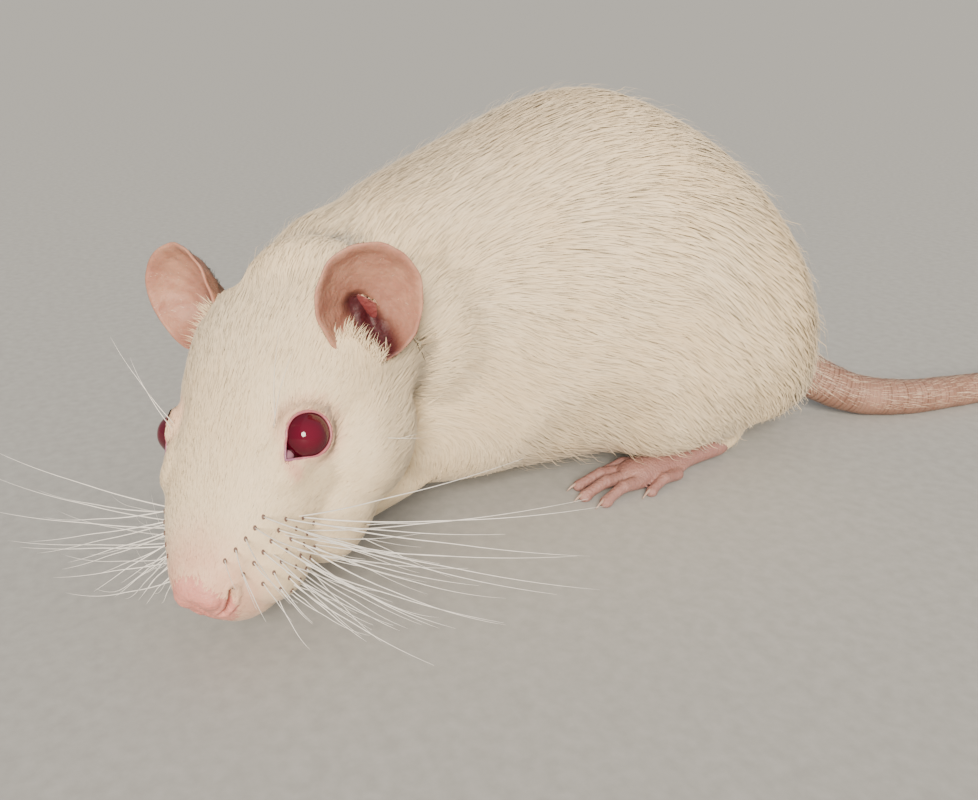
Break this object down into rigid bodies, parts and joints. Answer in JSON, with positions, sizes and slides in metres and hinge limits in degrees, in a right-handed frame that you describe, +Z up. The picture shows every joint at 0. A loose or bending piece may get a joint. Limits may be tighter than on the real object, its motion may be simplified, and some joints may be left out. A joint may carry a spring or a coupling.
{
  "type": "pet rat, still life-size model",
  "caption": "White pet rat crouching on the floor with its head turned to its left and lowered, its long tail laid out behind it; a still, life-size model.",
  "frame": {"origin": "middle of the bounding box's underside, on the floor that the feet and tail rest on", "axes": "+Z up; the trunk lies along Y with the head towards -Y and the tail towards +Y; the rat's left is +X"},
  "size_m": [0.1254, 0.3588, 0.0777],
  "materials": {
    "fur": "short creamy white fur",
    "skin": "bare pink skin",
    "eye": "wet ruby red eye"
  },
  "bodies": {
    "root": {"abdomen": "fur", "chest": "fur", "neck": "fur", "head": "fur", "jaw": "fur", "nose": "skin", "eye_left": "eye", "eye_right": "eye", "ear_left": "skin", "ear_right": "skin", "whisker_pad_left": "fur", "whisker_pad_right": "fur", "foreleg_left": "fur", "foreleg_right": "fur", "forefoot_left": "skin", "forefoot_right": "skin", "hind_leg_left": "fur", "hind_leg_right": "fur", "hind_foot_left": "skin", "hind_foot_right": "skin", "tail_1": "skin", "tail_2": "skin", "tail_3": "skin", "tail_4": "skin"}
  },
  "joints": []
}
